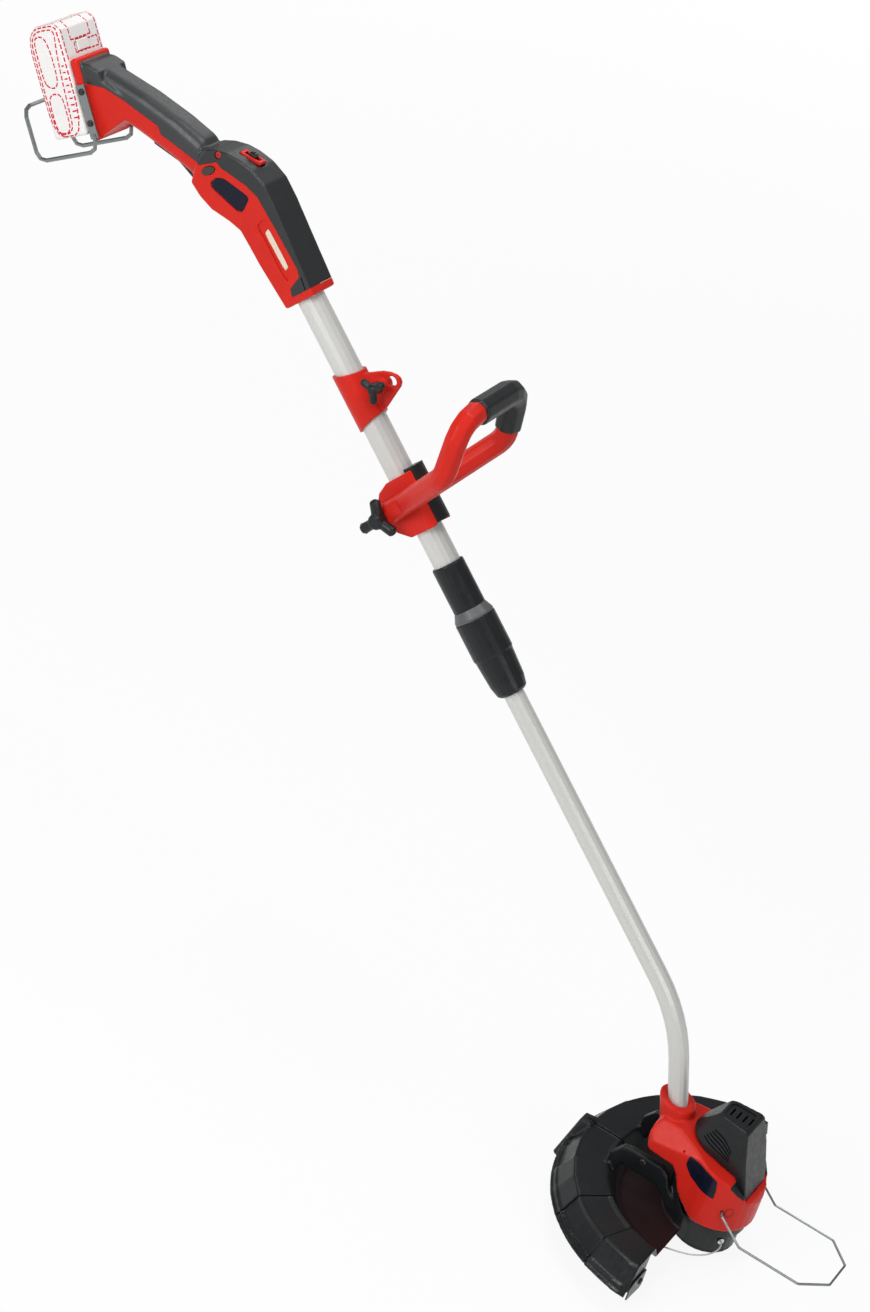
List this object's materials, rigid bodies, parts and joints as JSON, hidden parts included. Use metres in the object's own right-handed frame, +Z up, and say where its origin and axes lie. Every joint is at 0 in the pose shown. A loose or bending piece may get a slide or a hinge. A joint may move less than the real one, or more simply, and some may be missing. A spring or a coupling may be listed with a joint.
{
  "type": "cordless string trimmer",
  "caption": "Battery string trimmer: rear grip with battery dock, telescopic shaft, adjustable loop handle, and a motor head with line spool, half-round guard and wire plant guard.",
  "frame": {"origin": "centre of the bump knob's flat bottom, on the spool's axis, at ground level under the level spool", "axes": "+Z up along the spool's axis, +X forward away from the user, +Y to the user's left"},
  "size_m": [1.3532, 0.3728, 1.0476],
  "materials": {
    "red_shell": "satin moulded",
    "black_body": "fine grained",
    "black_rubber": "soft overmoulding",
    "black_screw": "black oxide",
    "battery_white": "white with red outlines",
    "tube_silver": "satin anodised",
    "chrome_wire": "bright plated",
    "grey_plastic": "matte",
    "board_green": "coated board",
    "line_nylon": "extruded",
    "bright_steel": "turned"
  },
  "bodies": {
    "root": {"handle_shell_right": "red_shell", "handle_shell_left": "red_shell", "grip_rubber": "black_rubber", "body_cover": "black_body", "slider_frame": "red_shell", "micro_switch": "black_body", "control_board": "board_green", "trigger_spring": "bright_steel", "dock_contacts": "black_body", "battery_stand": "chrome_wire", "stand_screw_1": "black_screw", "stand_screw_2": "black_screw", "stand_screw_3": "black_screw", "stand_screw_4": "black_screw", "upper_tube": "tube_silver", "coupling_sleeve": "black_body", "coupling_ring": "grey_plastic", "collet": "grey_plastic", "aux_clamp_rear": "red_shell", "aux_clamp_front": "black_body", "aux_bolt": "bright_steel"},
    "battery": {"battery_pack": "battery_white"},
    "battery_latch": {"battery_latch": "red_shell"},
    "trigger": {"trigger": "black_body"},
    "lock_button": {"lock_button": "black_body"},
    "speed_slider": {"speed_slider": "black_body"},
    "strap_clamp": {"strap_clamp": "red_shell"},
    "strap_screw": {"strap_screw": "black_body"},
    "aux_handle": {"aux_frame": "red_shell", "aux_grip": "black_rubber"},
    "aux_knob": {"aux_knob": "black_body"},
    "coupling_nut": {"coupling_nut": "black_body"},
    "lower": {"lower_tube": "tube_silver", "tube_bush": "black_body", "head_housing_right": "red_shell", "head_housing_left": "red_shell", "motor_cover": "black_body", "motor_can": "bright_steel", "bearing_lower": "bright_steel", "bearing_upper": "bright_steel", "guard": "black_body", "guard_screw_right": "black_screw", "guard_screw_left": "black_screw", "line_cutter": "bright_steel", "cutter_screw": "bright_steel"},
    "spool": {"rotor": "bright_steel", "fan": "grey_plastic", "spool_cup": "black_body", "spool_cap": "black_body", "line_eyelet": "bright_steel", "bump_spring": "bright_steel", "cutting_line": "line_nylon"},
    "bump": {"bump_knob": "black_body", "line_reel": "grey_plastic", "wound_line": "line_nylon"},
    "plant_guard": {"plant_guard": "chrome_wire"}
  },
  "joints": [
    {"name": "battery_slide", "type": "slide", "parent": "root", "child": "battery", "axis": [-0.5388, 0, 0.8425], "range_m": [0, 0.08]},
    {"name": "latch_press", "type": "slide", "parent": "battery", "child": "battery_latch", "axis": [-0.8425, 0, -0.5388], "range_m": [0, 0.0025], "stiffness_N_per_m": 800, "springref_m": -0.001},
    {"name": "trigger_pull", "type": "hinge", "parent": "root", "child": "trigger", "pos_m": [-1.01792, 0, 0.96652], "axis": [0, -1, 0], "range_deg": [0, 4], "stiffness_Nm_per_rad": 2, "springref_deg": -4.58, "deforming": ["trigger_spring"]},
    {"name": "lock_press", "type": "slide", "parent": "root", "child": "lock_button", "axis": [0, 1, 0], "range_m": [0, 0.003], "stiffness_N_per_m": 400, "springref_m": -0.001},
    {"name": "speed_set", "type": "slide", "parent": "root", "child": "speed_slider", "axis": [0.9986, 0, -0.0523], "range_m": [-0.004, 0.004]},
    {"name": "strap_slide", "type": "slide", "parent": "root", "child": "strap_clamp", "axis": [-0.7431, 0, 0.6691], "range_m": [-0.04, 0.06]},
    {"name": "strap_screw_turn", "type": "hinge", "parent": "strap_clamp", "child": "strap_screw", "pos_m": [-0.67866, 0, 0.82075], "axis": [0, 1, 0], "continuous": true},
    {"name": "aux_tilt", "type": "hinge", "parent": "root", "child": "aux_handle", "pos_m": [-0.61885, 0, 0.69289], "axis": [0, 1, 0], "range_deg": [-25, 25]},
    {"name": "aux_knob_turn", "type": "hinge", "parent": "root", "child": "aux_knob", "pos_m": [-0.61885, 0, 0.69289], "axis": [0, 1, 0], "continuous": true},
    {"name": "nut_turn", "type": "hinge", "parent": "root", "child": "coupling_nut", "pos_m": [-0.45996, 0, 0.57943], "axis": [-0.7431, 0, 0.6691], "range_deg": [0, 90]},
    {"name": "shaft_slide", "type": "slide", "parent": "root", "child": "lower", "axis": [-0.7431, 0, 0.6691], "range_m": [-0.05, 0.15]},
    {"name": "spool_spin", "type": "hinge", "parent": "lower", "child": "spool", "pos_m": [0, 0, 0], "axis": [0, 0, 1], "continuous": true},
    {"name": "bump_press", "type": "slide", "parent": "spool", "child": "bump", "axis": [0, 0, 1], "range_m": [0, 0.0045], "stiffness_N_per_m": 900, "springref_m": -0.004, "deforming": ["bump_spring"]},
    {"name": "plant_guard_fold", "type": "hinge", "parent": "lower", "child": "plant_guard", "pos_m": [0.0235, 0, 0.091], "axis": [0, -1, 0], "range_deg": [0, 90]}
  ]
}
